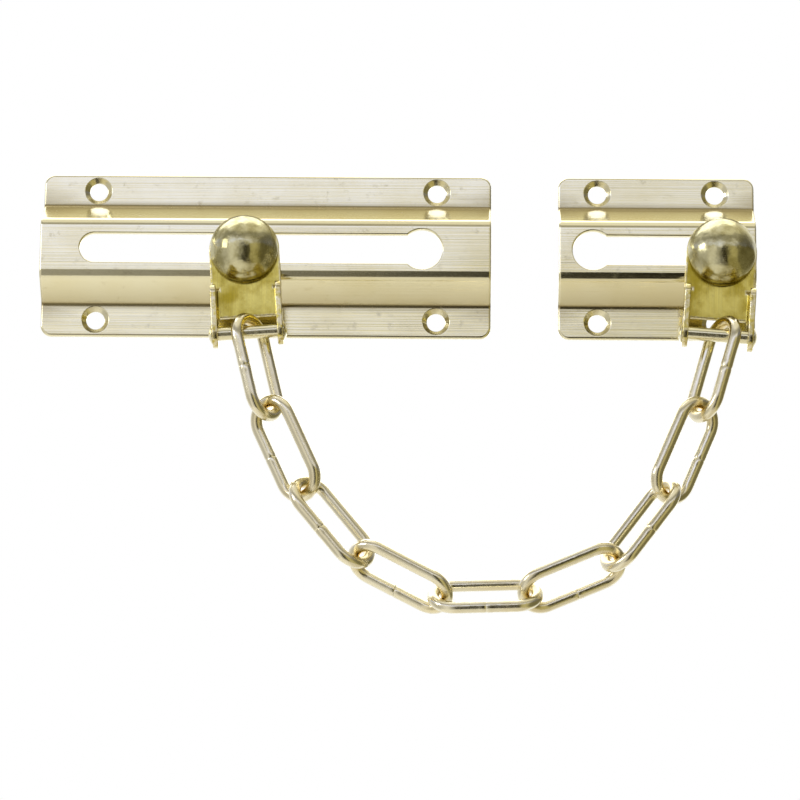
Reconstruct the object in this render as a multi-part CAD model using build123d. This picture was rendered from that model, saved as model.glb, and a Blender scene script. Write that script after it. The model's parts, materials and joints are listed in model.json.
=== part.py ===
from build123d import *
import os
from math import asin, cos, degrees, hypot, radians, sin

# Door chain, millimetres. X runs along the track, Z is up, the room is toward -Y and
# both plates lie against the door and its frame at y = 0. The origin is the middle of
# the track's four screw holes.

# Plates: one strip of rolled sheet each, flanges on the wood and a raised face between
plate_sheet = 1.5
plate_height = 38.4
flange_width = 8.0
channel_depth = 6.8
bend_radius = 1.6
corner_radius = 2.5
slot_width = 6.8

track_length = 103.0
track_slot_start = -42.4
track_key_x = 35.7
key_land = 1.4
track_key_radius = 4.7
track_screw_span = 78.0

keep_length = 45.0
keep_slot_margin = 3.2
keep_key_radius = 4.6
keep_screw_span = 27.0
keep_stud_margin = 8.0

screw_edge_margin = 3.9
screw_hole_diameter = 4.2
countersink_diameter = 6.2

# Studs: a turned knob with its neck in the slot, riveted to a disc behind the face
knob_radius = 7.7
knob_rim_height = 1.5
knob_dome_height = 5.4
knob_chamfer = 0.5
neck_radius = 2.5
tail_radius = 1.8
tail_head_radius = 2.8
tail_head_height = 1.1
tail_head_rim = 0.4
tail_head_chamfer = 1.1
disc_radius = 4.2
disc_thickness = 1.6
disc_edge = 0.3
run_clearance = 0.1
slide_stud_x = -4.7

# Hangers: folded strap with a round eye under the knob and two ears that hold a pin
strap_sheet = 1.3
strap_width = 16.0
strap_bend = 0.5
strap_clearance = 0.15
eye_clearance = 0.1
ear_top = 9.2
strap_base_end = 15.8
ear_reach = 8.6
ear_corner = 2.2
ear_round = 3.2
pin_radius = 1.5
pin_setback = 5.3
pin_head_radius = 2.4
pin_head_height = 0.9
hanger_length = 18.8
hanger_lean = 86.0

# Chain: nine straight oval links of round wire
wire_radius = 1.35
link_inner_width = 7.0
link_inner_length = 20.4
hook_gap = 0.4
# how each link lies, in degrees below the horizontal going right; the fourth closes the chain
link_fall = [76.0, 65.0, 50.0, None, -2.0, -23.0, -53.0, -67.0, -74.0]
# how far each link is rolled about its own length
link_roll = [-55.0, 40.0, -46.0, 54.0, -50.0, 48.0, -57.0, 42.0, -58.0]
# where the last link's end lies along its pin, to the right of the middle
end_link_offset = 1.75
# how far the last link's end rides above its seat on that pin, the play that lets the loop turn
end_link_play = 0.15

pitch = link_inner_length - hook_gap
face_half = track_key_radius + key_land
wall_run = plate_height / 2 - flange_width - face_half
face_front = channel_depth + plate_sheet
neck_drop = slot_width / 2 - neck_radius - run_clearance
strap_rear = face_front + strap_clearance
strap_front = strap_rear + strap_sheet
knob_under = strap_front + strap_clearance
pin_depth = strap_rear + pin_setback
pin_distance = hanger_length + hook_gap / 2 + pin_radius
plate_edge = plate_height / 2
screw_row_span = 2 * (plate_edge - screw_edge_margin)


def closed_falls():
    # the fourth link's fall brings the chain back up to its seat at the other end
    others = sum(sin(radians(fall)) for fall in link_fall if fall is not None)
    fourth = degrees(asin(-others - end_link_play / pitch))
    return [fourth if fall is None else fall for fall in link_fall]


def step(fall, length):
    # the move along a piece that points right and falls by this many degrees
    return Vector(length * cos(radians(fall)), 0, -length * sin(radians(fall)))


def chain_joints(falls):
    # the point where each piece of the chain bears on the next, left to right
    joints = [Vector(slide_stud_x, -pin_depth, -neck_drop) + step(hanger_lean, hanger_length)]
    for fall in falls:
        joints.append(joints[-1] + step(fall, pitch))
    return joints


falls = closed_falls()
joints = chain_joints(falls)
anchor_stud_x = joints[-1].X + step(-hanger_lean, hanger_length).X - end_link_offset
keep_right = anchor_stud_x + keep_stud_margin
keep_middle = keep_right - keep_length / 2
keep_key_x = keep_right - keep_length + keep_slot_margin + keep_key_radius


def rolled_strip(length):
    # the sheet's middle line across the plate, height against distance from the door
    flange_middle = plate_sheet / 2
    face_middle = channel_depth + plate_sheet / 2
    across = FilletPolyline(
        (-plate_edge, flange_middle),
        (-face_half - wall_run, flange_middle),
        (-face_half, face_middle),
        (face_half, face_middle),
        (face_half + wall_run, flange_middle),
        (plate_edge, flange_middle),
        radius=bend_radius,
    )
    end = Plane(origin=(-length / 2, 0, 0), x_dir=(0, 0, 1), z_dir=(1, 0, 0))
    return extrude(end * trace(across, plate_sheet), length)


def rounded_corners(strip, length):
    edges = strip.edges().filter_by(Axis.Y).filter_by(
        lambda edge: abs(abs(edge.center().Z) - plate_edge) < plate_sheet
        and abs(abs(edge.center().X) - length / 2) < plate_sheet
    )
    return fillet(edges, corner_radius)


def facing_cylinder(x, z, radius, rear, front):
    # a round bar along Y, from one distance off the door to another
    rise = (Align.CENTER, Align.CENTER, Align.MIN)
    return Plane(origin=(x, -rear, z), z_dir=(0, -1, 0)) * Cylinder(radius, front - rear, align=rise)


def slot_cutter(narrow_x, key_x, key_radius):
    # the straight slot with its round end, and the wide hole that lets the disc through
    low, high = sorted((narrow_x, key_x))
    rear = channel_depth - plate_sheet
    front = face_front + plate_sheet
    straight = Pos((low + high) / 2, -(rear + front) / 2, 0) * Box(high - low, front - rear, slot_width)
    end = facing_cylinder(narrow_x, 0, slot_width / 2, rear, front)
    key = facing_cylinder(key_x, 0, key_radius, rear, front)
    return straight + end + key


def screw_cutter(x, z):
    # clearance hole with a countersink from the front
    sink = (countersink_diameter - screw_hole_diameter) / 2
    hole = facing_cylinder(x, z, screw_hole_diameter / 2, -plate_sheet, 2 * plate_sheet)
    inward = Plane(origin=(x, -plate_sheet, z), z_dir=(0, 1, 0))
    rise = (Align.CENTER, Align.CENTER, Align.MIN)
    return hole + inward * Cone(countersink_diameter / 2, screw_hole_diameter / 2, sink, align=rise)


def plate(length, screw_span, narrow_x, key_x, key_radius):
    body = rounded_corners(rolled_strip(length), length)
    body -= slot_cutter(narrow_x, key_x, key_radius)
    for x in (-screw_span / 2, screw_span / 2):
        for z in (-screw_row_span / 2, screw_row_span / 2):
            body -= screw_cutter(x, z)
    return body


def track_plate():
    narrow_x = track_slot_start + slot_width / 2
    return plate(track_length, track_screw_span, narrow_x, track_key_x, track_key_radius)


def keep_plate():
    narrow_x = anchor_stud_x - keep_middle
    key_x = keep_key_x - keep_middle
    return Pos(keep_middle, 0, 0) * plate(keep_length, keep_screw_span, narrow_x, key_x, keep_key_radius)


def turned(outline, stud_x):
    # a profile of radius against distance from the door, spun about the stud's axis
    return Pos(stud_x, 0, -neck_drop) * revolve(make_face(outline), Axis.Y)


def knob(stud_x):
    disc_front = channel_depth - run_clearance
    disc_rear = disc_front - disc_thickness
    head_rear = disc_rear - tail_head_height
    rim_start = knob_under + knob_chamfer
    rim_end = knob_under + knob_rim_height
    top = rim_end + knob_dome_height
    # the dome is part of a ball that passes through the rim and the top
    ball = (knob_radius**2 + knob_dome_height**2) / (2 * knob_dome_height)
    middle_angle = asin(knob_radius / ball) / 2
    dome_middle = (ball * sin(middle_angle), -(top - ball + ball * cos(middle_angle)))
    outline = Polyline(
        (0, -head_rear),
        (tail_head_radius - tail_head_chamfer, -head_rear),
        (tail_head_radius, -(disc_rear - tail_head_rim)),
        (tail_head_radius, -disc_rear),
        (tail_radius, -disc_rear),
        (tail_radius, -disc_front),
        (neck_radius, -disc_front),
        (neck_radius, -knob_under),
        (knob_radius - knob_chamfer, -knob_under),
        (knob_radius, -rim_start),
        (knob_radius, -rim_end),
    ) + ThreePointArc((knob_radius, -rim_end), dome_middle, (0, -top)) + Line((0, -top), (0, -head_rear))
    return turned(outline, stud_x)


def rear_disc(stud_x):
    front = channel_depth - run_clearance
    rear = front - disc_thickness
    outline = Polyline(
        (tail_radius, -rear),
        (disc_radius - disc_edge, -rear),
        (disc_radius, -(rear + disc_edge)),
        (disc_radius, -(front - disc_edge)),
        (disc_radius - disc_edge, -front),
        (tail_radius, -front),
        close=True,
    )
    return turned(outline, stud_x)


def ear_profile():
    # side view of an ear: distance from the door against height under the stud
    front = strap_rear + ear_reach
    round_front = pin_depth + ear_round
    bottom = -pin_distance
    # the rear edge leaves the strap's lower end and runs straight onto the round
    corner = (strap_rear, -strap_base_end)
    away = (pin_depth - corner[0], bottom - corner[1])
    reach = hypot(*away)
    tilt = degrees(asin(ear_round / reach))
    heading = Vector(*away).rotate(Axis.Z, -tilt).normalized()
    touch = Vector(*corner) + heading * (reach * cos(radians(tilt)))
    outline = [
        Line((strap_rear, -ear_top), corner),
        Line(corner, (touch.X, touch.Y)),
        ThreePointArc((touch.X, touch.Y), (pin_depth, bottom - ear_round), (round_front, bottom)),
        Line((round_front, bottom), (front, -ear_top - ear_corner)),
        ThreePointArc(
            (front, -ear_top - ear_corner),
            (front - ear_corner * (1 - cos(radians(45))), -ear_top - ear_corner * (1 - sin(radians(45)))),
            (front - ear_corner, -ear_top),
        ),
        Line((front - ear_corner, -ear_top), (strap_rear, -ear_top)),
    ]
    return make_face(outline)


def hanger():
    # drawn hanging straight down from a stud at the origin
    half = strap_width / 2
    inner = half - strap_sheet
    # the fold runs on past the ears' rounds before it is trimmed
    down = pin_distance + 2 * ear_round
    # folded strap in plan, across against distance from the door: a back with two ears
    ear_middle = half - strap_sheet / 2
    back_middle = strap_rear + strap_sheet / 2
    ear_front = strap_rear + ear_reach + strap_sheet
    fold = FilletPolyline(
        (-ear_middle, ear_front),
        (-ear_middle, back_middle),
        (ear_middle, back_middle),
        (ear_middle, ear_front),
        radius=strap_bend + strap_sheet / 2,
    )
    plan = Plane(origin=(0, 0, -ear_top), x_dir=(1, 0, 0), z_dir=(0, 0, -1))
    folded = extrude(plan * trace(fold, strap_sheet), down)
    # trimmed to the ears' side view
    side = Plane(origin=(strap_width, 0, 0), x_dir=(0, -1, 0), z_dir=(-1, 0, 0))
    ears = folded & extrude(side * ear_profile(), 2 * strap_width)
    ears -= Pos(0, -strap_rear, -strap_base_end - down / 2) * Box(2 * inner, 2 * (strap_sheet + strap_bend), down)
    # the flat eye round the stud
    eye = facing_cylinder(0, 0, half, strap_rear, strap_front)
    eye += Pos(0, -(strap_rear + strap_front) / 2, -ear_top / 2) * Box(strap_width, strap_sheet, ear_top)
    body = eye + ears
    body -= facing_cylinder(0, 0, neck_radius + eye_clearance, 0, 2 * strap_front)
    bore = Plane(origin=(0, -pin_depth, -pin_distance), z_dir=(1, 0, 0)) * Cylinder(pin_radius, 2 * strap_width)
    return body - bore


def hanger_pin():
    # a straight rivet with a low round head at each end, drawn with the hanger
    half = strap_width / 2
    curve = (pin_head_radius**2 + pin_head_height**2) / (2 * pin_head_height)
    middle_angle = asin(pin_head_radius / curve) / 2
    bulge = (half + pin_head_height - curve + curve * cos(middle_angle), curve * sin(middle_angle))
    outline = [
        Line((0, 0), (0, pin_radius)),
        Line((0, pin_radius), (half, pin_radius)),
        Line((half, pin_radius), (half, pin_head_radius)),
        ThreePointArc((half, pin_head_radius), bulge, (half + pin_head_height, 0)),
        Line((half + pin_head_height, 0), (0, 0)),
    ]
    half_pin = revolve(make_face(outline), Axis.X)
    return Pos(0, -pin_depth, -pin_distance) * (half_pin + mirror(half_pin, Plane.YZ))


def hang(piece, stud_x, fall):
    # turns a piece drawn straight down to its real lie and puts it on its stud
    return Pos(stud_x, 0, -neck_drop) * Rot(0, fall - 90, 0) * piece


def oval_link():
    # drawn along X in the XY plane, its middle at the origin
    turn = link_inner_width / 2 + wire_radius
    crown = link_inner_length / 2 + wire_radius
    leg = crown - turn
    path = Wire([
        Line((-leg, turn), (leg, turn)).edge(),
        ThreePointArc((leg, turn), (crown, 0), (leg, -turn)).edge(),
        Line((leg, -turn), (-leg, -turn)).edge(),
        ThreePointArc((-leg, -turn), (-crown, 0), (-leg, turn)).edge(),
    ])
    start = Plane(origin=(0, turn, 0), x_dir=(0, 0, 1), z_dir=(1, 0, 0))
    return sweep(start * Circle(wire_radius), path=path)


def chain_link(index):
    middle = (joints[index] + joints[index + 1]) / 2
    # flat in the chain's plane, then rolled about its length and turned to its fall
    flat = Rot(90, 0, 0) * oval_link()
    rolled = Rot(link_roll[index], 0, 0) * flat
    return Pos(middle.X, middle.Y, middle.Z) * Rot(0, falls[index], 0) * rolled


def model():
    pieces = {
        "track_plate": track_plate(),
        "keep_plate": keep_plate(),
    }
    for side, stud_x, fall in (("slide", slide_stud_x, hanger_lean), ("anchor", anchor_stud_x, 180 - hanger_lean)):
        pieces[f"{side}_knob"] = knob(stud_x)
        pieces[f"{side}_disc"] = rear_disc(stud_x)
        pieces[f"{side}_hanger"] = hang(hanger(), stud_x, fall)
        pieces[f"{side}_hanger_pin"] = hang(hanger_pin(), stud_x, fall)
    for index in range(len(link_fall)):
        pieces[f"chain_link_{index + 1}"] = chain_link(index)
    return pieces


def main():
    os.makedirs("parts", exist_ok=True)
    for name, piece in model().items():
        export_step(piece, f"parts/{name}.step")


main()
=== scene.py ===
import json
import bmesh
import bpy
import numpy as np
from mathutils import Matrix, Vector
from mathutils.geometry import delaunay_2d_cdt


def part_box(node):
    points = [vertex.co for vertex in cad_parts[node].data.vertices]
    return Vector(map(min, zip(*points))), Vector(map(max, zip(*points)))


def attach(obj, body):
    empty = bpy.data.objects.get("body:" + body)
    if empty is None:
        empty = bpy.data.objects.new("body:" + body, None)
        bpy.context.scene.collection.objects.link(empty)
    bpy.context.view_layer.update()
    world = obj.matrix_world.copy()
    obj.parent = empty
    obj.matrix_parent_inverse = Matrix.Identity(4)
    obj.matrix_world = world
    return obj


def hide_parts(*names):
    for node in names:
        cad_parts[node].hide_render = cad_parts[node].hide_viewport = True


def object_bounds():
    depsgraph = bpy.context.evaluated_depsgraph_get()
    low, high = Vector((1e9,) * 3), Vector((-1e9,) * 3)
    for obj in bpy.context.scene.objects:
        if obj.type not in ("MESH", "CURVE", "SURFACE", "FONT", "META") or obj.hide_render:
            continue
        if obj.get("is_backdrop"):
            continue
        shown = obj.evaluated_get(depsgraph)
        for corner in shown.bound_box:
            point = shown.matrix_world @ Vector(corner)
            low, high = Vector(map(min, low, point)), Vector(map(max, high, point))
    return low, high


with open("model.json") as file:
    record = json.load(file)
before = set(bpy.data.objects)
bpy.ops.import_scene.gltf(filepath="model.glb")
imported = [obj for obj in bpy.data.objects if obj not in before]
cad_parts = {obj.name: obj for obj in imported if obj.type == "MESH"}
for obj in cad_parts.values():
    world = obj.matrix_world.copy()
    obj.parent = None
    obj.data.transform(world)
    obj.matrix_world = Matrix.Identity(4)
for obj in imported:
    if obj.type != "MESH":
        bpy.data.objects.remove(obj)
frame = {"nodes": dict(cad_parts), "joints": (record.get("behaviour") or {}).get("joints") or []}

# A brass door chain: two rolled plates, two studs with folded hangers and nine wire links.
# Shapes are worked out in millimetres and put into the meshes in metres. What may be changed is in
# the dictionary before each piece's functions.
mm = 0.001
weldGap = 1e-4 * mm       # points nearer than this are made one
shortestEdge = 1e-5 * mm  # shorter edges are closed up
leastTurn = 1e-6          # a smaller turn, in radians, is a straight run
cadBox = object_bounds()
joints = {joint["name"]: joint for joint in frame["joints"]}
print("frame loaded,", len(frame["nodes"]), "solids")


def boxOf(node):
    # lowest and highest corner of a solid in millimetres
    low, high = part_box(node)
    return np.array(low) / mm, np.array(high) / mm


def middleOf(node):
    # halfway between the two corners
    low, high = boxOf(node)
    return (low + high) / 2


# shared surface tools

def gridFaces(rows, columns, wrapRows=False, wrapColumns=False):
    # each cell of a rows by columns grid is one quad, and the last meets the first where it wraps
    i, j = np.meshgrid(
        np.arange(rows if wrapRows else rows - 1),
        np.arange(columns if wrapColumns else columns - 1),
        indexing="ij",
    )
    i2, j2 = (i + 1) % rows, (j + 1) % columns
    corners = [i * columns + j, i2 * columns + j, i2 * columns + j2, i * columns + j2]
    return np.stack(corners, -1).reshape(-1, 4)


def putInScene(name, points, faces, material, body, slot, stands, smooth=34, attributes=None, uv=None):
    # points in millimetres, faces as lists of quads and triangles, attributes as one number a point
    mesh = bpy.data.meshes.new(name)
    mesh.from_pydata((np.asarray(points) * mm).tolist(), [], [f for group in faces for f in group.tolist()])
    for key, values in (attributes or {}).items():
        mesh.attributes.new(key, "FLOAT", "POINT").data.foreach_set("value", np.asarray(values, np.float32))
    if uv is not None:
        mesh.uv_layers.new(name="wire").data.foreach_set("uv", uv.astype(np.float32).ravel())
    work = bmesh.new()
    work.from_mesh(mesh)
    bmesh.ops.remove_doubles(work, verts=work.verts, dist=weldGap)
    bmesh.ops.dissolve_degenerate(work, edges=work.edges, dist=shortestEdge)
    bmesh.ops.recalc_face_normals(work, faces=work.faces)
    work.to_mesh(mesh)
    openEdges = sum(len(edge.link_faces) != 2 for edge in work.edges)
    work.free()
    mesh.shade_smooth()
    mesh.set_sharp_from_angle(angle=np.radians(smooth))
    piece = bpy.data.objects.new(name, mesh)
    bpy.context.scene.collection.objects.link(piece)
    mesh.materials.append(material)
    even = piece.modifiers.new("evenNormals", "WEIGHTED_NORMAL")
    even.keep_sharp = True
    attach(piece, body)
    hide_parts(stands)
    print(f"  {name}: {len(mesh.polygons)} faces, {openEdges} open edges")
    return piece


def roundedLine(corners, radii, steps=6):
    # an open line whose inner corners are arcs: each arc leaves its corner's two sides at
    # radius * tan(turn / 2) from the corner and is swept by the turn between them
    corners = np.asarray(corners, float)
    line = [corners[0:1]]
    for before, corner, after, radius in zip(corners, corners[1:], corners[2:], radii):
        ahead = (corner - before) / np.linalg.norm(corner - before)
        leave = (after - corner) / np.linalg.norm(after - corner)
        turn = np.arctan2(ahead[0] * leave[1] - ahead[1] * leave[0], ahead @ leave)
        if radius == 0 or abs(turn) < leastTurn:
            line.append(corner[None])
            continue
        side = np.array([-ahead[1], ahead[0]]) * np.sign(turn)
        centre = corner - ahead * radius * np.tan(abs(turn) / 2) + side * radius
        swing = turn * np.linspace(0, 1, steps + 1)[:, None]
        spoke = -side * radius
        line.append(centre + spoke * np.cos(swing) + np.array([-spoke[1], spoke[0]]) * np.sin(swing))
    line.append(corners[-1:])
    return np.concatenate(line)


def arc(centre, radius, start, end, steps):
    # points of a circle between two angles in degrees, both ends included
    angle = np.radians(np.linspace(start, end, steps + 1))
    return np.asarray(centre) + radius * np.c_[np.cos(angle), np.sin(angle)]


def turnedPiece(name, profile, centre, axis, across, **settings):
    # a profile of (radius, distance along the axis) spun about the axis through the centre
    steps = settings.pop("around")
    third = np.cross(axis, across)
    angle = np.linspace(0, 2 * np.pi, steps, endpoint=False)[:, None, None]
    radius, along = profile[None, :, 0:1], profile[None, :, 1:2]
    points = centre + along * axis + radius * (np.cos(angle) * across + np.sin(angle) * third)
    faces = gridFaces(steps, len(profile), wrapRows=True)
    return putInScene(name, points.reshape(-1, 3), [faces], **settings)


# folded sheet: a flat outline with holes, laid along a bent middle line and given its thickness

def foldedPath(corners, radius):
    # straight runs joined by tangent arcs: for each stretch its start, point, heading and curvature
    corners = np.asarray(corners, float)
    runs = np.diff(corners, axis=0)
    lengths = np.linalg.norm(runs, axis=1)
    headings = np.arctan2(runs[:, 1], runs[:, 0])
    turns = (np.diff(headings) + np.pi) % (2 * np.pi) - np.pi
    cut = radius * np.tan(abs(turns) / 2)
    straight = lengths - np.r_[0, cut] - np.r_[cut, 0]
    ways = np.c_[np.cos(headings), np.sin(headings)]
    stretches, bends = [], []
    at, point = 0.0, corners[0]
    for k, run in enumerate(straight):
        stretches.append((at, point, headings[k], 0.0))
        at, point = at + run, point + ways[k] * run
        if k < len(turns):
            stretches.append((at, point, headings[k], np.sign(turns[k]) / radius))
            bends.append((at, at + radius * abs(turns[k])))
            at, point = bends[-1][1], corners[k + 1] + ways[k + 1] * cut[k]
    path = dict(zip(("start", "point", "angle", "curve"), map(np.array, zip(*stretches))))
    path.update(bends=bends, length=at)
    return path


def alongPath(path, s):
    # place and unit normal of the middle line at each distance along it
    k = np.clip(np.searchsorted(path["start"], s, side="right") - 1, 0, len(path["start"]) - 1)
    step, angle, curve = s - path["start"][k], path["angle"][k], path["curve"][k]
    now = angle + curve * step
    bend = np.where(curve == 0, 1, curve)  # no division by a straight run's curvature
    move = np.where(
        curve == 0,
        [step * np.cos(angle), step * np.sin(angle)],
        [(np.sin(now) - np.sin(angle)) / bend, (np.cos(angle) - np.cos(now)) / bend],
    )
    return path["point"][k] + move.T, np.c_[-np.sin(now), np.cos(now)]


def insetLoop(loop, distance):
    # a closed outline moved to its left, with mitred corners
    ahead = np.roll(loop, -1, 0) - loop
    ahead /= np.linalg.norm(ahead, axis=1)[:, None]
    behind = np.roll(ahead, 1, 0)
    left = np.c_[-ahead[:, 1] - behind[:, 1], ahead[:, 0] + behind[:, 0]]
    return loop + distance * left / (1 + (ahead * behind).sum(1))[:, None]


def isInside(points, loop):
    # odd number of the loop's sides to the right of a point
    x, y = points[:, :1], points[:, 1:]
    ax, ay = loop[:, 0], loop[:, 1]
    bx, by = np.roll(ax, -1), np.roll(ay, -1)
    spans = (ay > y) != (by > y)
    rise = np.where(ay == by, 1, by - ay)
    return (spans & (x < ax + (y - ay) * (bx - ax) / rise)).sum(1) % 2 == 1


def fillFlat(loops, loose, ties):
    # triangles between the first outline and the others, with an edge along each tie
    sizes = [len(loop) for loop in loops]
    starts = np.cumsum([len(loose)] + sizes)
    edges = [np.c_[np.arange(n), (np.arange(n) + 1) % n] + start for n, start in zip(sizes, starts)]
    edges = np.concatenate(edges + [np.asarray(ties, int).reshape(-1, 2)])
    flat = np.concatenate([loose] + loops)
    insideOnly, near = 1, 1e-7
    found = delaunay_2d_cdt([Vector(p) for p in flat.tolist()], edges.tolist(), [], insideOnly, near, True)
    filled, origins = found[2], found[3]
    triangles = np.array([origin[0] for origin in origins])[np.array(filled)]
    middles = flat[triangles].mean(1)
    kept = isInside(middles, loops[0]) & ~np.any([isInside(middles, loop) for loop in loops[1:]], axis=0)
    return triangles[kept]


def roundEdge(thick, edge, guard, steps=4):
    # inset and height of the rows that go from a sheet's front over its rounded edge to its back
    angle = np.linspace(0, np.pi / 2, steps + 1)
    inset, height = edge * (1 - np.sin(angle)), thick / 2 - edge * (1 - np.cos(angle))
    front = np.r_[[[edge + guard, thick / 2]], np.c_[inset, height]]
    return np.r_[front, front[::-1] * [1, -1]]


def sinkEdge(thick, edge, guard, sink):
    # as roundEdge, with a countersink of 45 degrees cut from the front and its rim eased in two steps
    rounded = roundEdge(thick, edge, guard)
    ease, firstDrop, secondDrop = 0.3 * edge, 0.12 * edge, 0.6 * edge
    inset = [sink + edge + guard, sink + edge, sink + ease, sink - ease, edge, 0]
    height = thick / 2 - np.array([0, 0, firstDrop, secondDrop, sink - secondDrop, sink])
    return np.r_[np.c_[inset, height], rounded[len(rounded) // 2:]]


def foldedSheet(name, loops, rows, loose, ties, place, shade, **settings):
    # loops keep the sheet on their left, rows hold each loop's (inset, height) pairs, loose points
    # lie inside, ties join points numbered from the loose ones on, place puts a flat point and its
    # height over the middle line into space, and shade tells how much painted shade a flat point gets
    half = rows[0][0, 1]
    points = [place(loose, np.full(len(loose), half)), place(loose, np.full(len(loose), -half))]
    faces, rim, first = [], [np.zeros(2 * len(loose))], 2 * len(loose)
    paintedShade = [shade(loose), shade(loose)]
    fronts, backs = [], []
    frontAt, backAt = [np.arange(len(loose))], [len(loose) + np.arange(len(loose))]
    for loop, edgeRows in zip(loops, rows):
        inset = np.array([insetLoop(loop, row[0]) for row in edgeRows])
        height = np.repeat(edgeRows[:, 1], len(loop))
        points.append(place(inset.reshape(-1, 2), height))
        paintedShade.append(shade(inset.reshape(-1, 2)))
        inner = (edgeRows[:, 0] == edgeRows[0, 0]) & (abs(edgeRows[:, 1]) == edgeRows[0, 1])
        rim.append(np.repeat(np.where(inner, 0.0, 1.0), len(loop)))
        faces.append(first + gridFaces(len(edgeRows), len(loop), wrapColumns=True))
        fronts.append(inset[0])
        frontAt.append(first + np.arange(len(loop)))
        first += inset[..., 0].size
        backs.append(inset[-1])
        backAt.append(first - len(loop) + np.arange(len(loop)))
    faces.append(np.concatenate(frontAt)[fillFlat(fronts, loose, ties)])
    faces.append(np.concatenate(backAt)[fillFlat(backs, loose, ties)])
    shades = {"rim": np.concatenate(rim), "paintedShade": np.concatenate(paintedShade)}
    return putInScene(name, np.concatenate(points), faces, attributes=shades, **settings)


# materials

class Field:
    # a socket that takes part in sums, so that shader maths reads as an expression
    def __init__(self, tree, socket):
        self.tree, self.socket = tree, socket

    def maths(self, operation, *values):
        made = self.tree.nodes.new("ShaderNodeMath")
        made.operation = operation
        for place, value in enumerate(values):
            if isinstance(value, Field):
                self.tree.links.new(value.socket, made.inputs[place])
            else:
                made.inputs[place].default_value = value
        return Field(self.tree, made.outputs[0])

    def __add__(self, other):
        return self.maths("ADD", self, other)

    def __sub__(self, other):
        return self.maths("SUBTRACT", self, other)

    def __rsub__(self, other):
        return self.maths("SUBTRACT", other, self)

    def __mul__(self, other):
        return self.maths("MULTIPLY", self, other)

    def size(self):
        return self.maths("ABSOLUTE", self)

    def larger(self, other):
        return self.maths("MAXIMUM", self, other)

    __radd__ = __add__
    __rmul__ = __mul__


class Finish:
    # the nodes of one material or of the world
    def __init__(self, owner):
        owner.use_nodes = True
        self.owner, self.tree = owner, owner.node_tree
        self.tree.nodes.clear()

    def close(self, shader):
        # joins the shader to the output, and hands back the material or world
        kind = "World" if isinstance(self.owner, bpy.types.World) else "Material"
        self.node("ShaderNodeOutput" + kind, None, {"Surface": shader}, None)
        return self.owner

    def node(self, kind, settings=None, values=None, output=0):
        # a node with its settings, set first, and the values or links of its sockets
        made = self.tree.nodes.new(kind)
        for key, value in (settings or {}).items():
            setattr(made, key, value)
        for key, value in (values or {}).items():
            if isinstance(value, Field):
                self.tree.links.new(value.socket, made.inputs[key])
            else:
                made.inputs[key].default_value = value
        return None if output is None else Field(self.tree, made.outputs[output])

    def noise(self, where, scale, detail=3, rough=0.5):
        return self.node("ShaderNodeTexNoise", None, {
            "Vector": where, "Scale": scale, "Detail": detail, "Roughness": rough,
        })

    def spread(self, value, low, high, outLow=0.0, outHigh=1.0):
        # a value between low and high carried smoothly to the range out
        return self.node("ShaderNodeMapRange", {"interpolation_type": "SMOOTHSTEP"}, {
            "Value": value, "From Min": low, "From Max": high, "To Min": outLow, "To Max": outHigh,
        })

    def mixColour(self, share, first, second):
        # inputs 6 and 7 and output 2 are the node's colours
        return self.node("ShaderNodeMix", {"data_type": "RGBA"}, {
            0: share, 6: first, 7: second,
        }, 2)

    def stretched(self, where, scale, centre=(0, 0, 0)):
        # coordinates counted from the centre and multiplied by the scale
        return self.node("ShaderNodeMapping", None, {
            "Vector": where, "Location": tuple(-c * s for c, s in zip(centre, scale)), "Scale": scale,
        })


def colour(red, green, blue):
    return (red, green, blue, 1.0)


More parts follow.
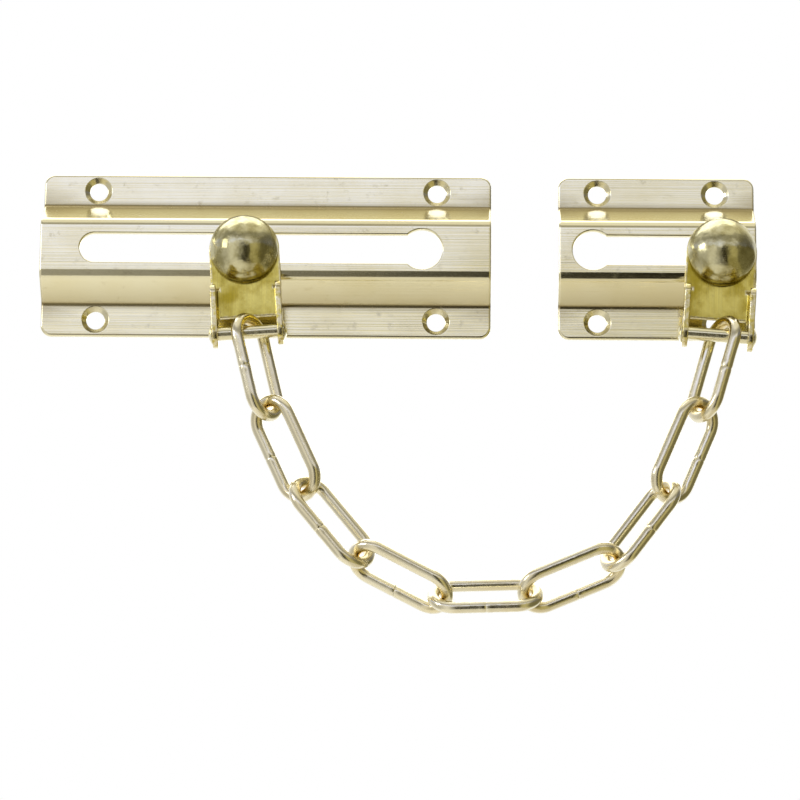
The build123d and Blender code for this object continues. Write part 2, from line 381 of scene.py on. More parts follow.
def brassFinish(name, look, lines, rim=None, warm=None, paintedShade=None):
    # polished brass: a pale tone that clouds over to a deeper one, fine polishing lines, soft dings, rims
    # paler by wear and painted highlight, painted reflection where a piece gives it, painted shade in
    # hollows
    finish = Finish(bpy.data.materials.new(name))
    where = finish.node("ShaderNodeTexCoord", None, None, "Object")
    cloud = finish.spread(finish.noise(where, look["cloudScale"], detail=4, rough=0.55), *look["cloudRange"])
    speck = finish.spread(finish.noise(where, look["speckScale"], detail=6, rough=0.7), *look["speckRange"])
    base = finish.mixColour(cloud * look["cloudShare"], colour(*look["tone"]), colour(*look["deep"]))
    # painted reflection: a deeper gold mixed in where the attribute marks brass facing brass
    if warm:
        share = finish.node("ShaderNodeAttribute", {"attribute_name": warm}, None, "Fac")
        base = finish.mixColour(share * look["paintedReflectionShare"], base, colour(*look["warm"]))
    base = finish.mixColour(speck * look["speckShare"], base, colour(*look["tarnish"]))
    stroke = lines(finish, where)
    rough = look["rough"] + cloud * look["cloudRough"] + speck * look["speckRough"]
    rough = rough + stroke * look["lineRough"]
    # rims painted paler in patches: partly wear, partly a painted highlight
    if rim:
        worn = finish.node("ShaderNodeAttribute", {"attribute_name": rim}, None, "Fac")
        patchy = worn * finish.spread(finish.noise(where, look["rimScale"], rough=0.6), *look["rimRange"])
        base = finish.mixColour(patchy * look["rimShare"], base, colour(*look["rimTone"]))
        rough = rough + patchy * look["rimRough"]
    # painted shade: a dark brown mixed in where the attribute marks a bend or fold
    if paintedShade:
        paintedDarkening = finish.node("ShaderNodeAttribute", {"attribute_name": paintedShade}, None, "Fac")
        base = finish.mixColour(paintedDarkening * look["paintedDarkeningShare"], base, colour(*look["paintedDarkening"]))
        rough = rough + paintedDarkening * look["paintedDarkeningRough"]
    swell = finish.noise(where, look["swellScale"], detail=2, rough=0.4)
    swollen = finish.node("ShaderNodeBump", None, {
        "Strength": look["swell"], "Distance": look["swellHeight"], "Height": swell,
    })
    lined = finish.node("ShaderNodeBump", None, {
        "Strength": look["lineDepth"], "Distance": look["lineHeight"], "Height": stroke, "Normal": swollen,
    })
    shader = finish.node("ShaderNodeBsdfPrincipled", None, {
        "Base Color": base, "Metallic": 1.0, "Roughness": rough, "Normal": lined,
        "Coat Weight": look["coat"], "Coat Roughness": look["coatRough"], "Coat IOR": look["coatIor"],
    })
    return finish.close(shader)


brassLook = {
    # colours: clean, clouded, painted reflection on the turns of the links, in specks, at rims and of the
    # painted shade
    "tone": (0.87, 0.82, 0.58), "deep": (0.80, 0.71, 0.40), "warm": (0.76, 0.60, 0.24),
    "tarnish": (0.44, 0.34, 0.15), "rimTone": (0.94, 0.88, 0.68), "paintedDarkening": (0.30, 0.23, 0.09),
    # clouds, specks and rims, worn and with a painted highlight: scale, share of their colour, range of the
    # noise, added roughness
    "cloudScale": 55, "cloudShare": 0.45, "cloudRange": (0.35, 0.7), "cloudRough": 0.04,
    "speckScale": 420, "speckShare": 0.18, "speckRange": (0.56, 0.74), "speckRough": 0.12,
    "rimScale": 900, "rimShare": 0.15, "rimRange": (0.3, 0.65), "rimRough": 0.05,
    "paintedDarkeningShare": 0.90, "paintedDarkeningRough": 0.12, "rough": 0.09, "coat": 0.15, "coatRough": 0.06, "coatIor": 1.45,
    # polishing lines: added roughness, strength and height in metres; soft dings: scale and the same two
    "lineRough": 0.06, "lineDepth": 0.25, "lineHeight": 0.00002,
    "swellScale": 60, "swell": 0.05, "swellHeight": 0.0004,
}
# lines of each finish: scales along X, Y and Z or along and round the wire, and range of the noise
lineForm = {
    "plateFine": (18, 1500, 4200), "plateBroad": (9, 260, 700),
    "plateShare": 0.65, "plateRange": (0.34, 0.66),
    "strap": (3000, 3000, 60), "wire": (6, 70, 1), "drawnRange": (0.36, 0.66),
    "ring": 5200, "ringRange": (0.32, 0.68),
}


def lengthwiseLines(finish, where):
    # rolling and polishing lines along X
    fine = finish.noise(finish.stretched(where, lineForm["plateFine"]), 1.0, rough=0.6)
    broad = finish.noise(finish.stretched(where, lineForm["plateBroad"]), 1.0, detail=2)
    share = lineForm["plateShare"]
    return finish.spread(fine * share + broad * (1 - share), *lineForm["plateRange"])


# plates

plateForm = {
    # section: sheet, whole height, flange, rise and run of each wall, radius of the bends' middle line
    "sheet": 1.5, "height": 38.4, "flange": 8.0, "depth": 6.8, "wallRun": 5.1, "bend": 2.0, "bendSteps": 11,
    # outline and slot: corner radius, slot width, rounded edges and the strip kept clear inside them
    "corner": 2.5, "cornerSteps": 10, "edge": 0.48, "guard": 0.09,
    "slot": 6.8, "slotEdge": 0.28, "slotGuard": 0.08, "slotSteps": 28, "keySteps": 64,
    # screw holes: diameter, depth of the countersink, its eased rim and the room it has in a bend
    "hole": 4.2, "holeRows": 30.6, "holeSteps": 56, "sink": 1.0, "sinkEdge": 0.12, "sinkGuard": 0.08,
    "sinkRoom": 0.05, "tieGap": 0.1,
    "paintedShade": 1.1,  # how far the painted shade spreads from the outer bends
}
# the keyhole's middle and radius, the slot's closed end, the screw holes' span along the plate, and
# margin, the land between the keep's end and its keyhole
trackForm = {"node": "track_plate", "key": 35.7, "keyRadius": 4.7, "slotEnd": -42.4, "holeSpan": 78.0}
keepForm = {"node": "keep_plate", "keyRadius": 4.6, "margin": 3.2, "holeSpan": 27.0}


def keyedSlot(narrow, key, keyRadius, middle):
    # clockwise outline of a slot with a round end at narrow and a wide round hole at key
    f = plateForm
    half = f["slot"] / 2
    reach = np.degrees(np.arcsin(half / keyRadius))
    side = np.sign(key - narrow)
    end = arc((0, 0), half, 90, 270, f["slotSteps"]) * [side, 1] + [narrow, middle]
    wide = arc((0, 0), keyRadius, 180 + reach, 540 - reach, f["keySteps"]) * [side, 1] + [key, middle]
    loop = np.r_[end, wide]
    return loop[::-1] if side > 0 else loop


def rolledPlate(form, material, body):
    # a strip outline in (place along the plate, distance across the sheet), bent to the raised section
    low, high = boxOf(form["node"])
    middle = (low[0] + high[0]) / 2
    half, f = (high[0] - low[0]) / 2, plateForm
    flangeAt, faceAt = f["sheet"] / 2, f["depth"] + f["sheet"] / 2
    edge, faceHalf = f["height"] / 2, f["height"] / 2 - f["flange"] - f["wallRun"]
    # middle line as (height on the door, distance off it): flange, wall, face, wall, flange
    path = foldedPath([
        (-edge, flangeAt), (-faceHalf - f["wallRun"], flangeAt), (-faceHalf, faceAt),
        (faceHalf, faceAt), (faceHalf + f["wallRun"], flangeAt), (edge, flangeAt),
    ], f["bend"])
    across = path["length"]
    lines = np.concatenate([np.linspace(a, b, f["bendSteps"] + 1) for a, b in path["bends"]])
    r = f["corner"]
    right = np.r_[
        arc((half - r, r), r, -90, 0, f["cornerSteps"]),
        np.c_[np.full(len(lines), half), lines],
        arc((half - r, across - r), r, 0, 90, f["cornerSteps"]),
    ]
    left = right[::-1] * [-1, 1]
    outline = np.r_[right, left]
    holeAt = edge - f["holeRows"] / 2
    # each bend line runs from end to end, broken where a countersink reaches into the bend
    sunk = f["hole"] / 2 + f["sink"] + f["sinkEdge"] + f["sinkGuard"] + f["sinkRoom"]
    loose, chains = [], []
    for s in lines:
        row = holeAt if s < across / 2 else across - holeAt
        chains.append([])
        if abs(s - row) < sunk:
            gap = np.sqrt(sunk**2 - (s - row) ** 2) + f["tieGap"]
            for x in (-form["holeSpan"] / 2, form["holeSpan"] / 2):
                chains[-1] += [len(loose), len(loose) + 1]
                loose += [(x - gap, s), (x + gap, s)]
    loose = np.array(loose).reshape(-1, 2)
    ties = []
    for k, chain in enumerate(chains):
        rightEnd = len(loose) + f["cornerSteps"] + 1 + k
        leftEnd = len(loose) + 2 * len(right) - 2 - f["cornerSteps"] - k
        stops = [leftEnd] + chain + [rightEnd]
        ties += list(zip(stops[::2], stops[1::2]))
    loops = [outline]
    rows = [roundEdge(f["sheet"], f["edge"], f["guard"])]
    for x in (-form["holeSpan"] / 2, form["holeSpan"] / 2):
        for s in (holeAt, across - holeAt):
            loops.append(arc((x, s), f["hole"] / 2, 360, 0, f["holeSteps"])[:-1])
            rows.append(sinkEdge(f["sheet"], f["sinkEdge"], f["sinkGuard"], f["sink"]))
    loops.append(keyedSlot(form["narrow"] - middle, form["key"] - middle, form["keyRadius"], across / 2))
    rows.append(roundEdge(f["sheet"], f["slotEdge"], f["slotGuard"]))

    def place(flat, height):
        # the section at that distance across the sheet, carried straight along the plate
        section, normal = alongPath(path, flat[:, 1])
        section = section + height[:, None] * normal
        return np.c_[flat[:, 0] + middle, -section[:, 1], section[:, 0]]

    def shade(flat):
        # painted shade, fullest in the middle of the two outer bends, where wall and flange meet
        outer = [np.mean(path["bends"][k]) for k in (0, -1)]
        return np.max([np.exp(-((flat[:, 1] - at) / f["paintedShade"]) ** 2) for at in outer], axis=0)

    return foldedSheet(form["node"] + "_rolled", loops, rows, loose, ties, place, shade,
                       material=material, body=body, slot="plate_brass", stands=form["node"])


print("plates")
plateMaterial = brassFinish("plateBrass", brassLook, lengthwiseLines, rim="rim", paintedShade="paintedShade")
trackForm["narrow"] = trackForm["slotEnd"] + plateForm["slot"] / 2
rolledPlate(trackForm, plateMaterial, "plates")
keepLow = boxOf("keep_plate")[0]
keepForm["narrow"] = middleOf("anchor_knob")[0]
keepForm["key"] = keepLow[0] + keepForm["margin"] + keepForm["keyRadius"]
rolledPlate(keepForm, plateMaterial, "plates")


# studs: knob with neck and riveted tail, and the disc behind the plate's face

knobForm = {
    # rim and dome are heights, neck and tail radii, and head the riveted end of the tail
    "radius": 7.7, "rim": 1.5, "dome": 5.4, "chamfer": 0.5, "neck": 2.5, "tail": 1.8,
    "headRadius": 2.8, "head": 1.1, "headRim": 0.4, "headChamfer": 1.1, "around": 128, "domeSteps": 40,
    # radii of the profile's corners, from the tail's head to the edge of the dome
    "rounds": [0.5, 0.15, 0, 0, 0, 0.1, 0.1, 0.2, 0.2, 0.35], "roundSteps": 5,
}
discForm = {"radius": 4.2, "thick": 1.6, "edge": 0.3, "around": 72}


def turningLines(centre):
    # rings about the stud's axis, from the distance to that axis
    def lines(finish, where):
        flat = finish.node("ShaderNodeVectorMath", {"operation": "MULTIPLY"}, {
            0: finish.stretched(where, (1, 1, 1), centre), 1: (1, 0, 1),  # nothing along the axis
        })
        radius = finish.node("ShaderNodeVectorMath", {"operation": "LENGTH"}, {0: flat}, "Value")
        ring = finish.node("ShaderNodeTexNoise", {"noise_dimensions": "1D"}, {
            "W": radius * lineForm["ring"], "Scale": 1.0, "Detail": 3, "Roughness": 0.6,
        })
        return finish.spread(ring, *lineForm["ringRange"])
    return lines


def knobProfile(node):
    # the tail's head, tail, neck, flat underside, rim and a dome that is part of a ball
    f, d = knobForm, discForm
    low, high = boxOf(node)
    headAt, top = -high[1], -low[1]
    discAt = headAt + f["head"]
    under = top - f["dome"] - f["rim"]
    ball = (f["radius"] ** 2 + f["dome"] ** 2) / (2 * f["dome"])
    angle = np.linspace(np.arcsin(f["radius"] / ball), 0, f["domeSteps"])
    dome = np.c_[ball * np.sin(angle), top - ball + ball * np.cos(angle)]
    stem = roundedLine([
        (0, headAt), (f["headRadius"] - f["headChamfer"], headAt),
        (f["headRadius"], discAt - f["headRim"]), (f["headRadius"], discAt), (f["tail"], discAt),
        (f["tail"], discAt + d["thick"]), (f["neck"], discAt + d["thick"]), (f["neck"], under),
        (f["radius"] - f["chamfer"], under), (f["radius"], under + f["chamfer"]),
        (f["radius"], under + f["rim"]), tuple(dome[1]),
    ], f["rounds"], f["roundSteps"])
    return np.r_[stem[:-1], dome[1:]]


def discProfile(node):
    # closed section of a ring with rounded outer corners
    f = discForm
    low, high = boxOf(node)
    rear, front = -high[1], -low[1]
    loop = roundedLine([
        (knobForm["tail"], rear), (f["radius"], rear), (f["radius"], front), (knobForm["tail"], front),
    ], [f["edge"], f["edge"]], knobForm["roundSteps"])
    return np.r_[loop, loop[:1]]


# the knob and disc take a darker olive tone with heavy clouding: painted dim, mottled reflections on the
# dome
knobShadedLook = dict(
    brassLook, tone=(0.66, 0.62, 0.38), deep=(0.39, 0.35, 0.16), cloudShare=0.95, cloudScale=360,
    speckScale=900, speckShare=0.5, rough=0.16, swell=0.46, swellScale=380, lineDepth=0.12,
)
forward, rightward = np.array([0, -1.0, 0]), np.array([1.0, 0, 0])


def studPieces(side, bodyOfKnob):
    # knob and disc of one stud, spun about the line through the knob's middle
    for part, profile, form, slot in (
        ("knob", knobProfile, knobForm, "knob_brass"), ("disc", discProfile, discForm, "rivet_brass"),
    ):
        node = f"{side}_{part}"
        centre = middleOf(node) * [1, 0, 1]
        material = brassFinish(node + "Brass", knobShadedLook, turningLines(tuple(centre * mm)))
        turnedPiece(node + "_turned", profile(node), centre, forward, rightward, around=form["around"],
                    material=material, body=bodyOfKnob, slot=slot, stands=node, smooth=30)


print("studs")
studPieces("slide", "slide")
studPieces("anchor", "plates")


# hangers: a flat eye and two ears folded forward from it, with a cross pin

hangerForm = {
    # blank: bend is the radius inside the folds, and eyeBottom and baseEnd count down from the stud
    "sheet": 1.3, "width": 16.0, "bend": 0.5, "eyeHole": 2.6, "eyeBottom": 9.2, "baseEnd": 15.8,
    # ears: reach off the back of the strap, radii of corner and round, and the cut above them
    "reach": 8.6, "corner": 2.2, "round": 3.2, "relief": 0.3,
    "edge": 0.22, "guard": 0.35, "pinEdge": 0.06, "pinGuard": 0.1,
    "bendSteps": 8, "cornerSteps": 8, "roundSteps": 26, "eyeSteps": 32, "holeSteps": 48, "pinSteps": 40,
    # painted shade: how far it spreads from the folds and, as painted shadow, under the knob, and its share
    # there
    "paintedShade": 1.2, "shadow": 10.5, "shadowShare": 0.8,
}
pinForm = {
    "radius": 1.5, "headRadius": 2.4, "headHeight": 0.9, "around": 56, "headSteps": 12,
    "fillet": 0.12, "filletSteps": 4,
}


def hangerOutline(pinAcross, pinDown, rear, path):
    # right half of the flat blank, from the top of the eye round the ear to the foot of the back,
    # as (across, up): the ear's side view is unrolled from distance off the door
    f = hangerForm
    half = path["length"] / 2
    bendStart, bendEnd = path["bends"][1][0] - half, path["bends"][1][1] - half
    lines = np.linspace(bendStart, bendEnd, f["bendSteps"] + 1)
    depthAt = alongPath(path, lines + half)[0][:, 1] - rear
    unroll = bendEnd - depthAt[-1]
    pin = np.array([pinAcross + unroll, -pinDown])
    front = f["reach"] + unroll
    # the rear edge drops from the foot of the back and runs straight onto the round
    corner = np.array([0, -f["baseEnd"]])
    away = np.array([pinAcross, -pinDown]) - corner
    tilt = np.arctan2(away[1], away[0]) - np.arcsin(f["round"] / np.hypot(*away))
    fall = -f["baseEnd"] + np.tan(tilt) * (depthAt - depthAt[0])
    c = f["corner"]
    earTop = -f["eyeBottom"]
    ear = np.r_[
        np.c_[lines, np.full(len(lines), earTop)],
        arc((front - c, earTop - c), c, 90, 0, f["cornerSteps"]),
        arc(pin, f["round"], 0, np.degrees(tilt) - 90, f["roundSteps"]),
        np.c_[lines, fall][::-1],
    ]
    eye = np.r_[
        arc((0, 0), f["width"] / 2, 90, 0, f["eyeSteps"]),
        [[f["width"] / 2, earTop + f["relief"]], [bendStart, earTop + f["relief"]]],
    ]
    ties = [(len(eye) + k, len(eye) + len(ear) - 1 - k) for k in range(len(lines))]
    return np.r_[eye, ear], ties, pin


def hanger(side, material, pinMaterial, body, studAt):
    # the blank mirrored about its middle, laid flat at the eye and round the two folds below it
    f = hangerForm
    low, high = boxOf(f"{side}_hanger")
    rear = -high[1]
    # down runs from the stud to the pin, and across along the pin
    pinAt = middleOf(f"{side}_hanger_pin")
    down = (pinAt - studAt) * [1, 0, 1]
    drop = np.linalg.norm(down)
    down /= drop
    across = np.array([-down[2], 0, down[0]])
    earMiddle = f["width"] / 2 - f["sheet"] / 2
    back = rear + f["sheet"] / 2
    far = rear + f["reach"] + f["sheet"]
    path = foldedPath([(-earMiddle, far), (-earMiddle, back), (earMiddle, back), (earMiddle, far)],
                      f["bend"] + f["sheet"] / 2)
    half = path["length"] / 2
    rightSide, ties, pin = hangerOutline(-pinAt[1] - rear, drop, rear, path)
    leftSide = rightSide[1:][::-1] * [-1, 1]
    clockwise = np.r_[rightSide, leftSide]
    total = len(clockwise)
    outline = clockwise[::-1]
    ties = [(total - 1 - a, total - 1 - b) for a, b in ties] + [
        ((a - 1) % total, (b - 1) % total) for a, b in ties
    ]
    loops = [outline, arc((0, 0), f["eyeHole"], 360, 0, f["holeSteps"])[:-1]]
    for sign in (-1, 1):
        loops.append(arc(pin * [sign, 1], pinForm["radius"], 360, 0, f["pinSteps"])[:-1])
    rows = [roundEdge(f["sheet"], f["edge"], f["guard"])] * 2
    rows += [roundEdge(f["sheet"], f["pinEdge"], f["pinGuard"])] * 2

    def place(flat, height):
        # above the relief cuts the sheet stays flat, below them it follows the fold
        section, normal = alongPath(path, flat[:, 0] + half)
        folded = section + height[:, None] * normal
        level = np.c_[flat[:, 0], back + height]
        isEye = flat[:, 1] > -f["eyeBottom"] + f["relief"] / 2
        laid = np.where(isEye[:, None], level, folded)
        return studAt * [1, 0, 1] + laid[:, :1] * across + laid[:, 1:] * forward - flat[:, 1:] * down

    def shade(flat):
        # painted shade in the two folds, and painted shadow on the eye under the knob
        fold = np.exp(-((abs(flat[:, 0]) - earMiddle) / f["paintedShade"]) ** 2) * (flat[:, 1] < -f["eyeBottom"])
        under = np.exp(-(np.hypot(flat[:, 0], flat[:, 1]) / f["shadow"]) ** 2)
        return np.maximum(fold, f["shadowShare"] * under)

    foldedSheet(f"{side}_hanger_folded", loops, rows, np.empty((0, 2)), ties, place, shade,
                material=material, body=body, slot="strap_brass", stands=f"{side}_hanger")
    # the pin's shank with a low round head, mirrored about the middle of the hanger
    p = pinForm
    reach = f["width"] / 2
    curve = (p["headRadius"] ** 2 + p["headHeight"] ** 2) / (2 * p["headHeight"])
    angle = np.linspace(np.arcsin(p["headRadius"] / curve), 0, p["headSteps"])
    head = np.c_[curve * np.sin(angle), reach + p["headHeight"] - curve + curve * np.cos(angle)]
    shank = roundedLine([(p["radius"], 0), (p["radius"], reach), (p["headRadius"], reach), tuple(head[1])],
                        [0, p["fillet"]], p["filletSteps"])
    halfPin = np.r_[shank[:-1], head[1:]]
    profile = np.r_[halfPin[::-1] * [1, -1], halfPin[1:]]
    turnedPiece(f"{side}_hanger_pin_turned", profile, pinAt, across, forward, around=p["around"],
                material=pinMaterial, body=body, slot="rivet_brass", stands=f"{side}_hanger_pin", smooth=30)


def brushedDown(finish, where):
    # polishing lines that run down the strap
    fine = finish.noise(finish.stretched(where, lineForm["strap"]), 1.0, rough=0.6)
    return finish.spread(fine, *lineForm["drawnRange"])


print("hangers")
# the strap is a deeper, darker gold copy of the brass: painted reflection of brass on brass and painted
# shade; its rims, at a large share, are a painted highlight
strapShadedLook = dict(
    brassLook, tone=(0.75, 0.65, 0.185), deep=(0.42, 0.32, 0.025), paintedDarkening=(0.52, 0.42, 0.06),
    cloudShare=1.0, cloudScale=190, rough=0.11, rimShare=0.8, paintedDarkeningShare=0.4,
)
strapShadedMaterial = brassFinish("strapBrassShaded", strapShadedLook, brushedDown, rim="rim", paintedShade="paintedShade")
pinMaterial = brassFinish("pinBrass", dict(brassLook, rough=0.16), brushedDown)
for side, body, swing in (
    ("slide", "slide_strap", "slide_strap_swing"), ("anchor", "anchor_strap", "anchor_strap_swing"),
):
    hanger(side, strapShadedMaterial, pinMaterial, body, np.array(joints[swing]["pos_m"]) / mm)


# chain: nine ovals of round wire, closed by a butt joint in the middle of one leg

linkForm = {
    # radius of the wire and the clear space inside the oval
    "wire": 1.35, "innerWidth": 7.0, "innerLength": 20.4, "legSteps": 30, "turnSteps": 40, "around": 28,
    # butt joint: half width and depth of the seam, and the swelling beside it with its place and width
    "seam": 0.11, "seamDepth": 0.07, "swelling": 0.03, "swellingAt": 0.9, "swellingWidth": 0.5,
    "gathering": 1.7,  # how strongly the steps gather at the joint
    "far": 99.0,       # distance given to the points of the other leg and the turns
    # painted reflection round the wire: its middle and swing; map units a millimetre; each link's roll in
    # degrees
    "crown": (0.35, 0.65), "mapStep": 0.1,
    "roll": [-55.0, 40.0, -46.0, 54.0, -50.0, 48.0, -57.0, 42.0, -58.0],
}


def linkPath():
    # two straight legs and two half turns: place, way outward, distance from the joint, share of turn
    f = linkForm
    turn = f["innerWidth"] / 2 + f["wire"]
    leg = f["innerLength"] / 2 + f["wire"] - turn
    # steps gather at the joint in the middle of the lower leg
    half = leg * np.linspace(0, 1, f["legSteps"] // 2 + 1)[1:] ** f["gathering"]
    lower = np.r_[-half[::-1], 0, half]
    upper = np.linspace(leg, -leg, f["legSteps"] + 1)
    swing = np.radians(np.linspace(-90, 90, f["turnSteps"] + 1))[1:-1]
    spoke = np.c_[np.cos(swing), np.sin(swing)]
    out = np.r_[
        np.tile([[0, -1.0]], (len(lower), 1)), spoke,
        np.tile([[0, 1.0]], (len(upper), 1)), -spoke,
    ]
    middles = np.r_[lower, np.full(len(swing), leg), upper, np.full(len(swing), -leg)]
    flat = np.c_[middles, np.zeros(len(middles))] + turn * out
    away = np.full(len(flat), f["far"])
    away[:len(lower)] = abs(lower)
    crown = np.clip((abs(flat[:, 0]) - leg) / turn, 0, 1)
    return flat, out, away, crown


def chainLink(index, material, start, end):
    # the wire's circle carried along the oval, which lies rolled about the line from start to end
    f = linkForm
    node = f"chain_link_{index + 1}"
    long = (end - start) / np.linalg.norm(end - start)
    roll = np.radians(f["roll"][index])
    upright = np.cross(long, [0, 1.0, 0])
    wide = np.cos(roll) * upright - np.sin(roll) * np.array([0, 1.0, 0])
    normal = np.cross(long, wide)
    flat, out, away, crown = linkPath()
    centre = middleOf(node) + flat[:, :1] * long + flat[:, 1:] * wide
    outward = out[:, :1] * long + out[:, 1:] * wide
    angle = np.linspace(0, 2 * np.pi, f["around"], endpoint=False)
    wire = f["wire"] - f["seamDepth"] * np.exp(-(away / f["seam"]) ** 2)
    wire = wire + f["swelling"] * np.exp(-((away - f["swellingAt"]) / f["swellingWidth"]) ** 2)
    ring = np.cos(angle)[None, :, None] * outward[:, None] + np.sin(angle)[None, :, None] * normal
    points = centre[:, None] + wire[:, None, None] * ring
    # painted deeper gold on the inner side of the turns, where the links meet, for reflection and shade
    # between them
    inner = crown[:, None] * np.clip(f["crown"][0] - f["crown"][1] * np.cos(angle), 0, 1)[None]
    n, m = len(flat), f["around"]
    faces = gridFaces(n, m, wrapRows=True, wrapColumns=True)
    # the wire's own map: turns along it and round it, carried on past the seam
    steps = np.linalg.norm(np.diff(np.r_[flat, flat[:1]], axis=0), axis=1)
    length = np.r_[0, np.cumsum(steps)]
    i, j = np.meshgrid(np.arange(n), np.arange(m), indexing="ij")
    corners = np.stack([np.stack([i + a, j + b], -1) for a, b in ((0, 0), (1, 0), (1, 1), (0, 1))], 2)
    uv = np.stack([length[corners[..., 0]] * f["mapStep"], corners[..., 1] / m + index], -1)
    return putInScene(node + "_wire", points.reshape(-1, 3), [faces], material, f"link_{index + 1}",
                      "chain_brass", node, smooth=60,
                      attributes={"crown": inner.ravel()}, uv=uv.reshape(-1, 2))


def drawnLines(finish, where):
    # drawing lines along the wire, from its own map
    wire = finish.node("ShaderNodeUVMap", {"uv_map": "wire"})
    fine = finish.noise(finish.stretched(wire, lineForm["wire"]), 1.0, rough=0.6)
    return finish.spread(fine, *lineForm["drawnRange"])


print("chain")
# warm is the painted reflection on the inner side of the links' turns
chainLook = dict(
    brassLook, tone=(0.86, 0.81, 0.62), deep=(0.80, 0.69, 0.40), warm=(0.74, 0.58, 0.22), paintedReflectionShare=0.85,
    cloudScale=70, cloudShare=0.4, rough=0.15, lineDepth=0.2,
)
chainMaterial = brassFinish("chainBrass", chainLook, drawnLines, warm="crown")
pivots = [np.array(joints[f"link_{k}_swing"]["pos_m"]) / mm for k in range(1, 10)]
for index, start in enumerate(pivots):
    # each link's middle lies on the line between its two pivots
    chainLink(index, chainMaterial, start, 2 * middleOf(f"chain_link_{index + 1}") - start)


# studio

studio = {
    # floor in metres: height, radius, where its painted shade darkens it towards the right, its mottle's
    # scale and share, roughness
    "floorHeight": -0.70, "floorRadius": 0.60, "floorSteps": 96, "floorPaintedFalloff": (-0.15, 0.20),
    "mottleScale": 3.0, "mottleShare": 0.2, "floorRough": 0.8,
    "floorPale": (0.90, 0.89, 0.86), "floorShadeAndMottle": (0.68, 0.64, 0.54),
    "lamps": [
        # name, place, size, power
        ("keyLamp", (-1.05, -0.55, 0.30), 0.40, 2.4),
        ("topLamp", (-0.20, 0.62, 1.15), 1.55, 10.5),
        ("backLamp", (0.10, 0.90, 0.25), 0.50, 1.5),
    ],
    # bands of the room as heights or widths of a direction: where each starts and where it is full,
    # and, where there are four numbers, the share that it has there
    "room": {
        "front": (-0.05, -0.15),
        "lowBand": (0.225, 0.17), "lowEnd": (-0.995, -0.975),
        "lowRight": (-0.12, 0.02, 0.60, 1.0), "lowWidth": (0.45, 0.20, 0.30, 1.0),
        "sideBand": (0.50, 0.85), "sideRight": (-0.2, 0.2, 0.55, 1.0), "sideDim": 0.82,
        "highBand": (0.60, 0.76), "highDim": 0.10,
        "frontBand": (0.36, 0.58), "frontEnd": (0.84, 0.68), "frontDim": 0.66,
        "rightBand": (-0.12, 0.20), "rightLow": (0.250, 0.295, 1.0, 0.3), "rightDim": 0.46,
        "coolBand": (0.250, 0.295), "coolEnd": (0.50, 0.33),
        "backdropFront": (0.15, 0.5), "backdropTop": (0.72, 0.45),
        "bright": (0.98, 0.95, 0.89), "cool": (1.02, 1.10, 1.66), "warm": (0.97, 0.87, 0.44),
        "dark": (0.014, 0.011, 0.005),
    },
    "aim": (0.030, 0.0, -0.030),
}
cameraForm = {
    # angles in degrees, distance and aim in metres, lens and sensor in millimetres
    "azimuth": 0.95, "elevation": -13.4, "roll": 0.6, "distance": 0.90,
    "aim": (0.03095, 0.0, -0.0334), "lens": 177.7, "sensor": 36.0,
}


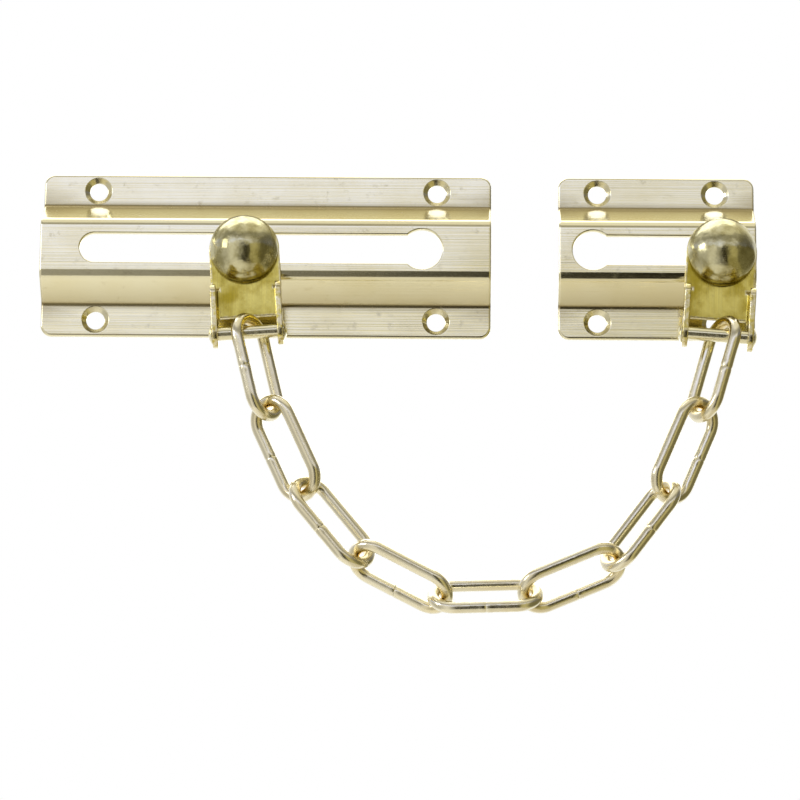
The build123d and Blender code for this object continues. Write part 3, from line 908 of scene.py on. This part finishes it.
def paleFloor():
    # a round floor far below the part, pale and slightly mottled, with painted shade that darkens it to the
    # right
    finish = Finish(bpy.data.materials.new("paleFloor"))
    where = finish.node("ShaderNodeTexCoord", None, None, "Object")
    across = finish.node("ShaderNodeSeparateXYZ", None, {0: where})
    mottle = finish.noise(where, studio["mottleScale"], detail=2) * studio["mottleShare"]
    # painted shade darkening the floor towards the right, with the mottle on top
    share = finish.spread(across, *studio["floorPaintedFalloff"]) * (1 - studio["mottleShare"]) + mottle
    tone = finish.mixColour(share, colour(*studio["floorPale"]), colour(*studio["floorShadeAndMottle"]))
    shader = finish.node("ShaderNodeBsdfPrincipled", None, {
        "Base Color": tone, "Roughness": studio["floorRough"],
    })
    rim = arc((0, 0), studio["floorRadius"], 0, 360, studio["floorSteps"])[:-1]
    points = np.c_[rim, np.full(len(rim), studio["floorHeight"])]
    mesh = bpy.data.meshes.new("floor")
    mesh.from_pydata(points.tolist(), [], [list(range(len(points)))])
    mesh.materials.append(finish.close(shader))
    floor = bpy.data.objects.new("floor", mesh)
    bpy.context.scene.collection.objects.link(floor)
    floor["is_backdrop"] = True


def studioWorld():
    # white where the camera looks and where metal mirrors the backdrop, and a room with dim bands
    # low, high and beside the part, which polished brass needs to show its form
    world = bpy.data.worlds.new("studio")
    bpy.context.scene.world = world
    finish = Finish(world)
    way = finish.node("ShaderNodeTexCoord")
    x, y, z = (finish.node("ShaderNodeSeparateXYZ", None, {0: way}, k) for k in range(3))
    room = studio["room"]

    def band(value, *names):
        # product of the named bands for one coordinate of the direction
        share, *others = (finish.spread(value, *room[name]) for name in names)
        for other in others:
            share = share * other
        return share

    front = band(y, "front")
    low = band(z, "lowBand", "lowEnd") * band(x, "lowRight") * band(x.size(), "lowWidth") * front
    side = band(x.size(), "sideBand") * band(x, "sideRight")
    high = band(z, "frontBand", "frontEnd") * front
    warm = band(x, "rightBand") * band(z, "rightLow")
    dim = low.larger(side * room["sideDim"]).larger(band(z, "highBand") * room["highDim"])
    dim = dim.larger(high * room["frontDim"]).larger(warm * front * room["rightDim"])
    isCamera, isGlossy, isThrough = (
        finish.node("ShaderNodeLightPath", None, None, f"Is {kind} Ray")
        for kind in ("Camera", "Glossy", "Transmission")
    )
    backdrop = band(y, "backdropFront") * band(z, "backdropTop") * (1 - side)
    seen = isCamera + (isGlossy + isThrough) * backdrop
    cool = band(z, "coolBand", "coolEnd")
    tone = finish.mixColour(cool, colour(*room["bright"]), colour(*room["cool"]))
    tone = finish.mixColour(warm, tone, colour(*room["warm"]))
    tone = finish.mixColour(dim, tone, colour(*room["dark"]))
    dimmed = finish.node("ShaderNodeBackground", None, {"Color": tone, "Strength": 1.0})
    white = finish.node("ShaderNodeBackground", None, {"Color": colour(1, 1, 1), "Strength": 1.0})
    finish.close(finish.node("ShaderNodeMixShader", None, {0: seen, 1: dimmed, 2: white}))


def aimed(place, target):
    # the pose at a place that looks towards the target
    way = Vector(target) - Vector(place)
    return Matrix.Translation(place) @ way.to_track_quat("-Z", "Y").to_matrix().to_4x4()


def studioLamps():
    # square soft lamps that face the part
    for name, place, size, power in studio["lamps"]:
        lamp = bpy.data.lights.new(name, "AREA")
        lamp.shape, lamp.size, lamp.energy = "SQUARE", size, power
        holder = bpy.data.objects.new(name, lamp)
        holder.matrix_world = aimed(place, studio["aim"])
        bpy.context.scene.collection.objects.link(holder)


def photoCamera():
    # as far back from the aim as distance says, along azimuth and elevation, and rolled
    c = cameraForm
    turn, rise = np.radians(c["azimuth"]), np.radians(c["elevation"])
    back = Vector((np.sin(turn) * np.cos(rise), -np.cos(turn) * np.cos(rise), np.sin(rise)))
    place = Vector(c["aim"]) + back * c["distance"]
    camera = bpy.data.cameras.new("photoCamera")
    camera.lens, camera.sensor_width = c["lens"], c["sensor"]
    holder = bpy.data.objects.new("photoCamera", camera)
    holder.matrix_world = aimed(place, c["aim"]) @ Matrix.Rotation(np.radians(c["roll"]), 4, "Z")
    bpy.context.scene.collection.objects.link(holder)
    bpy.context.scene.camera = holder


print("studio")
paleFloor()
studioWorld()
studioLamps()
photoCamera()
bpy.context.scene.view_settings.view_transform = "Standard"

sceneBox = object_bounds()
boxes = {"cad": cadBox, "visual": sceneBox}
{name: [list(corner) for corner in box] for name, box in boxes.items()}
